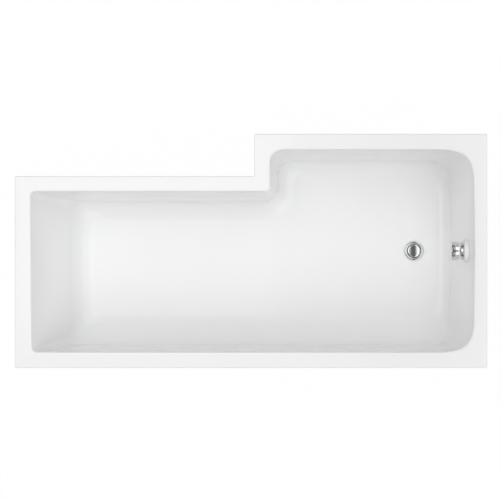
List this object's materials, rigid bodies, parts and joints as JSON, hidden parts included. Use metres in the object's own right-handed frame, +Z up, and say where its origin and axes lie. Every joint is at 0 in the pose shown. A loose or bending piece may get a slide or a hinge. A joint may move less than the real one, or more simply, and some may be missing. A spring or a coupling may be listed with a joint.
{
  "type": "square shower bath",
  "caption": "L-shaped acrylic shower bath with a sloping backrest, a wide square shower end, a cable-operated pop-up waste and overflow, and a cradle on adjustable feet.",
  "frame": {"origin": "on the floor under the middle of the rim's outline", "axes": "+X from the sloping backrest to the shower end, +Y from the wall side to the room side, +Z up"},
  "size_m": [1.695, 0.84, 0.55],
  "materials": {
    "acrylic": "gloss white",
    "glassfibre": "rough, fibrous",
    "chipboard": "raw chipboard",
    "softwood": "sawn softwood",
    "zinc_steel": "zinc plated",
    "foot_plastic": "moulded black",
    "chrome": "polished",
    "dark_steel": "blackened",
    "brass": "turned",
    "rubber": "moulded black",
    "foam": "closed-cell foam",
    "waste_plastic": "moulded white",
    "hose_plastic": "satin grey",
    "cable_casing": "satin black"
  },
  "bodies": {
    "bath": {"bath_shell": "acrylic", "shell_reinforcement": "glassfibre", "baseboard": "chipboard", "rim_strip_wall": "softwood", "rim_strip_end": "softwood", "rim_strip_wide": "softwood", "rim_strip_step": "softwood", "rim_strip_room": "softwood", "rim_strip_foot": "softwood", "cradle_rail_1": "zinc_steel", "cradle_rail_2": "zinc_steel", "cradle_rail_3": "zinc_steel", "rail_screws": "zinc_steel", "upper_lock_nuts": "zinc_steel", "lower_lock_nuts": "zinc_steel", "wall_brackets": "zinc_steel", "bracket_screws": "zinc_steel", "waste_top_seal": "foam", "waste_lower_seal": "rubber", "waste_flange": "chrome", "waste_body": "waste_plastic", "lever_pin": "zinc_steel", "overflow_front_seal": "foam", "overflow_back_seal": "rubber", "overflow_plate": "chrome", "overflow_body": "waste_plastic", "overflow_hose": "hose_plastic", "hose_clips": "zinc_steel", "control_cable": "cable_casing", "pull_wire": "zinc_steel"},
    "overflow_control": {"overflow_knob": "chrome", "knob_grub_screw": "dark_steel", "overflow_spindle": "brass", "cable_drum": "waste_plastic"},
    "plug": {"plug_cap": "chrome", "plug_seal": "rubber", "plug_spindle": "brass"},
    "lift_lever": {"lift_lever": "waste_plastic"},
    "wire_end": {"cable_nipple": "brass"},
    "foot_1": {"foot_stud_1": "zinc_steel", "foot_pad_1": "foot_plastic"},
    "foot_2": {"foot_stud_2": "zinc_steel", "foot_pad_2": "foot_plastic"},
    "foot_3": {"foot_stud_3": "zinc_steel", "foot_pad_3": "foot_plastic"},
    "foot_4": {"foot_stud_4": "zinc_steel", "foot_pad_4": "foot_plastic"},
    "foot_5": {"foot_stud_5": "zinc_steel", "foot_pad_5": "foot_plastic"},
    "foot_6": {"foot_stud_6": "zinc_steel", "foot_pad_6": "foot_plastic"}
  },
  "joints": [
    {"name": "knob_turn", "type": "hinge", "parent": "bath", "child": "overflow_control", "pos_m": [0.7355, 0, 0.43], "axis": [-1, 0, 0], "range_deg": [0, 75]},
    {"name": "plug_lift", "type": "slide", "parent": "bath", "child": "plug", "axis": [0, 0, 1], "range_m": [0, 0.00972]},
    {"name": "lever_swing", "type": "hinge", "parent": "bath", "child": "lift_lever", "pos_m": [0.6025, -0.028, 0.094], "axis": [1, 0, 0], "range_deg": [0, 20.3]},
    {"name": "wire_pull", "type": "slide", "parent": "bath", "child": "wire_end", "axis": [0, -1, 0], "range_m": [0, 0.007]},
    {"name": "foot_1_height", "type": "slide", "parent": "bath", "child": "foot_1", "axis": [0, 0, 1], "range_m": [-0.015, 0.015]},
    {"name": "foot_2_height", "type": "slide", "parent": "bath", "child": "foot_2", "axis": [0, 0, 1], "range_m": [-0.015, 0.015]},
    {"name": "foot_3_height", "type": "slide", "parent": "bath", "child": "foot_3", "axis": [0, 0, 1], "range_m": [-0.015, 0.015]},
    {"name": "foot_4_height", "type": "slide", "parent": "bath", "child": "foot_4", "axis": [0, 0, 1], "range_m": [-0.015, 0.015]},
    {"name": "foot_5_height", "type": "slide", "parent": "bath", "child": "foot_5", "axis": [0, 0, 1], "range_m": [-0.015, 0.015]},
    {"name": "foot_6_height", "type": "slide", "parent": "bath", "child": "foot_6", "axis": [0, 0, 1], "range_m": [-0.015, 0.015]}
  ],
  "couplings": [
    {"joint": "knob_turn", "follows": "plug_lift", "rad_per_m": 134.61},
    {"joint": "lever_swing", "follows": "plug_lift", "rad_per_m": 35.896},
    {"joint": "wire_pull", "follows": "plug_lift", "ratio": 0.71429}
  ]
}
